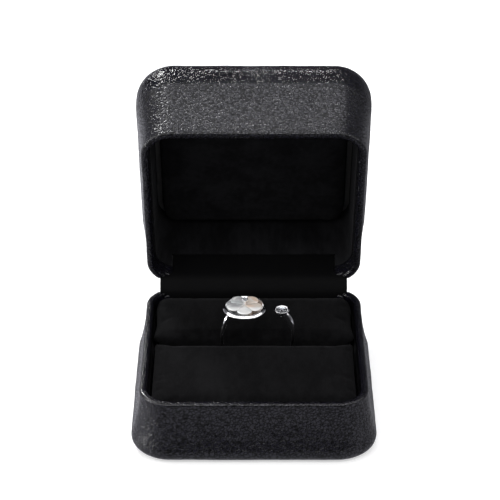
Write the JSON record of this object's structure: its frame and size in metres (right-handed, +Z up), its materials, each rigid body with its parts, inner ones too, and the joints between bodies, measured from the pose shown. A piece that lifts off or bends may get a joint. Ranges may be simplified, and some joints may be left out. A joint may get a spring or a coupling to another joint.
{
  "type": "ring display box",
  "caption": "Small flared leatherette box with a sprung hinged lid and a slit velvet cushion that holds a ring upright on show.",
  "frame": {"origin": "centre of the box's underside, on the table; the lid is stored standing open", "axes": "+Z up, -Y towards the front of the box, where the lid opens, +Y towards the hinge, +X to the viewer's right"},
  "size_m": [0.0648, 0.0879, 0.0842],
  "materials": {
    "leatherette": "black pebbled leatherette with a semi-gloss top coat",
    "moulded_shell": "plain black moulding, hidden under the coverings",
    "velvet": "short black velvet pile",
    "satin": "close black satin weave",
    "card": "grey board",
    "covered_card": "black paper covered board",
    "foam": "charcoal open-cell foam",
    "blackened_steel": "blackened steel",
    "silver": "polished white metal",
    "mother_of_pearl": "polished mother of pearl",
    "crystal": "clear cut stone"
  },
  "bodies": {
    "base": {"base_shell": "moulded_shell", "base_cover": "leatherette", "base_panel": "covered_card", "base_lining": "velvet", "cushion_card": "card", "front_pad_foam": "foam", "front_pad_cover": "velvet", "rear_pad_foam": "foam", "rear_pad_cover": "velvet", "slit_bed": "velvet", "hinge_base_leaf": "blackened_steel", "hinge_base_rivets": "blackened_steel", "hinge_pin": "blackened_steel", "hinge_snap_spring": "blackened_steel", "hinge_strip": "satin"},
    "lid": {"lid_shell": "moulded_shell", "lid_cover": "leatherette", "lid_lining": "velvet", "lid_pad_card": "card", "lid_pad_foam": "foam", "lid_pad_cover": "velvet", "hinge_lid_leaf": "blackened_steel", "hinge_lid_rivets": "blackened_steel"},
    "ring": {"ring_band": "silver", "blossom_dish": "silver", "blossom_petals": "mother_of_pearl", "centre_collet": "silver", "centre_stone": "crystal", "side_collet": "silver", "side_stone": "crystal"}
  },
  "joints": [
    {"name": "lid_hinge", "type": "hinge", "parent": "base", "child": "lid", "pos_m": [0, 0.0307, 0.0173], "axis": [1, 0, 0], "range_deg": [0, 71], "deforming": ["hinge_strip", "hinge_snap_spring"]},
    {"name": "ring_lift", "type": "slide", "parent": "base", "child": "ring", "axis": [0, 0, 1], "range_m": [0, 0.005]}
  ]
}
